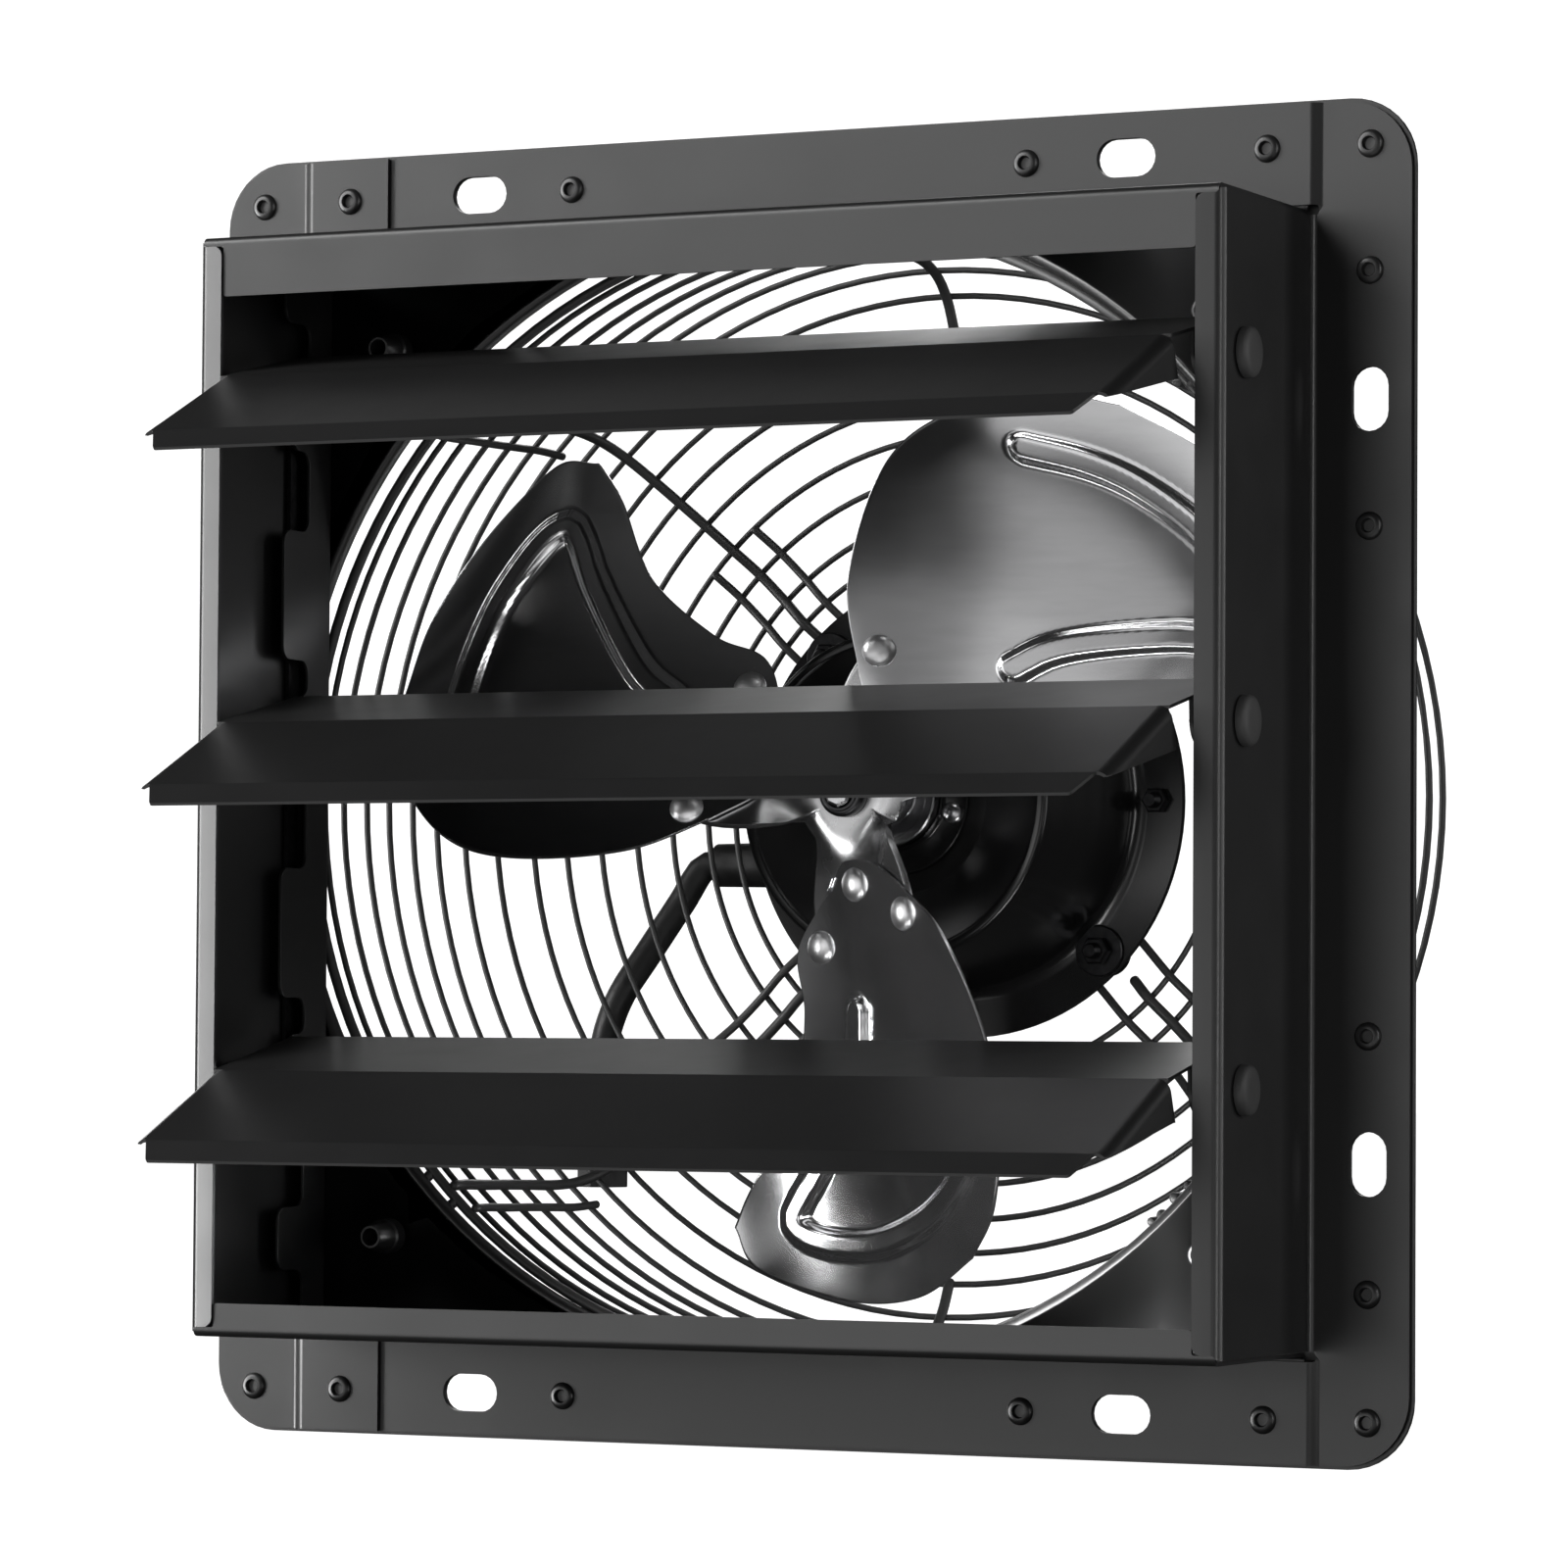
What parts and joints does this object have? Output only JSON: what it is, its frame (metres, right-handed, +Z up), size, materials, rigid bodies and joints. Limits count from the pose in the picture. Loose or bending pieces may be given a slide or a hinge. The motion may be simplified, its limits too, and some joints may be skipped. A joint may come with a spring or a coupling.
{
  "type": "shutter exhaust fan",
  "caption": "Square wall exhaust fan with three linked gravity louvres in front, a three-bladed fan on a flange motor, and a wire guard basket behind.",
  "frame": {"origin": "centre of the fan's opening, on the rear face of the mounting plate that lies on the wall", "axes": "+X to the right seen from the room, +Y into the wall along the fan's axis, +Z up"},
  "size_m": [0.392, 0.2982, 0.392],
  "materials": {
    "black_paint": "satin black powder coat",
    "guard_coating": "black dipped wire",
    "blade_steel": "bright pressed sheet",
    "shaft_steel": "ground steel",
    "dark_steel": "blackened steel",
    "black_plastic": "moulded black plastic",
    "black_rubber": "black cable sheath"
  },
  "bodies": {
    "root": {"side_panel_left": "black_paint", "side_panel_right": "black_paint", "top_channel": "black_paint", "bottom_channel": "black_paint", "rear_panel": "black_paint", "inner_strip_left": "black_paint", "inner_strip_right": "black_paint", "pivot_bush_top_left": "black_plastic", "pivot_bush_top_right": "black_plastic", "pivot_bush_middle_left": "black_plastic", "pivot_bush_middle_right": "black_plastic", "pivot_bush_bottom_left": "black_plastic", "pivot_bush_bottom_right": "black_plastic", "wire_guard": "guard_coating", "guard_bolt_lower_left": "black_paint", "guard_bolt_upper_left": "black_paint", "guard_bolt_lower_right": "black_paint", "guard_bolt_upper_right": "black_paint", "guard_nut_lower_left": "black_paint", "guard_nut_upper_left": "black_paint", "guard_nut_lower_right": "black_paint", "guard_nut_upper_right": "black_paint", "guard_clamp_upper_right": "black_paint", "guard_clamp_upper_left": "black_paint", "guard_clamp_lower_left": "black_paint", "guard_clamp_lower_right": "black_paint", "motor_front_shell": "black_paint", "motor_rear_shell": "black_paint", "bearing_retainer": "dark_steel", "front_bearing": "shaft_steel", "rear_bearing": "shaft_steel", "stator": "dark_steel", "lead_gland": "black_rubber", "motor_lead": "black_rubber", "terminal_box": "black_plastic", "terminal_box_cover": "black_plastic"},
    "fan": {"motor_shaft": "shaft_steel", "rotor": "dark_steel", "hub_spider": "blade_steel", "hub_collar": "shaft_steel", "shaft_nut": "dark_steel", "fan_blade_1": "blade_steel", "fan_blade_2": "blade_steel", "fan_blade_3": "blade_steel"},
    "upper_louvre": {"louvre_top": "black_paint", "pivot_pin_top_left": "dark_steel", "pivot_pin_top_right": "dark_steel", "louvre_arm_top": "dark_steel"},
    "centre_louvre": {"louvre_middle": "black_paint", "pivot_pin_middle_left": "dark_steel", "pivot_pin_middle_right": "dark_steel", "louvre_arm_middle": "dark_steel"},
    "lower_louvre": {"louvre_bottom": "black_paint", "pivot_pin_bottom_left": "dark_steel", "pivot_pin_bottom_right": "dark_steel", "louvre_arm_bottom": "dark_steel"},
    "linkage": {"tie_bar": "dark_steel"}
  },
  "joints": [
    {"name": "fan_spin", "type": "hinge", "parent": "root", "child": "fan", "pos_m": [0, 0, 0], "axis": [0, 1, 0], "continuous": true},
    {"name": "centre_louvre_pivot", "type": "hinge", "parent": "root", "child": "centre_louvre", "pos_m": [0, -0.0553, 0.015], "axis": [1, 0, 0], "range_deg": [-15, 60]},
    {"name": "upper_louvre_pivot", "type": "hinge", "parent": "root", "child": "upper_louvre", "pos_m": [0, -0.0553, 0.118], "axis": [1, 0, 0], "range_deg": [-15, 60]},
    {"name": "lower_louvre_pivot", "type": "hinge", "parent": "root", "child": "lower_louvre", "pos_m": [0, -0.0553, -0.088], "axis": [1, 0, 0], "range_deg": [-15, 60]},
    {"name": "tie_bar_link", "type": "hinge", "parent": "centre_louvre", "child": "linkage", "pos_m": [-0.1622, -0.01811, 0.00504], "axis": [1, 0, 0], "range_deg": [-60, 15]}
  ],
  "couplings": [
    {"joint": "upper_louvre_pivot", "follows": "centre_louvre_pivot", "ratio": 1},
    {"joint": "lower_louvre_pivot", "follows": "centre_louvre_pivot", "ratio": 1},
    {"joint": "tie_bar_link", "follows": "centre_louvre_pivot", "ratio": -1}
  ]
}
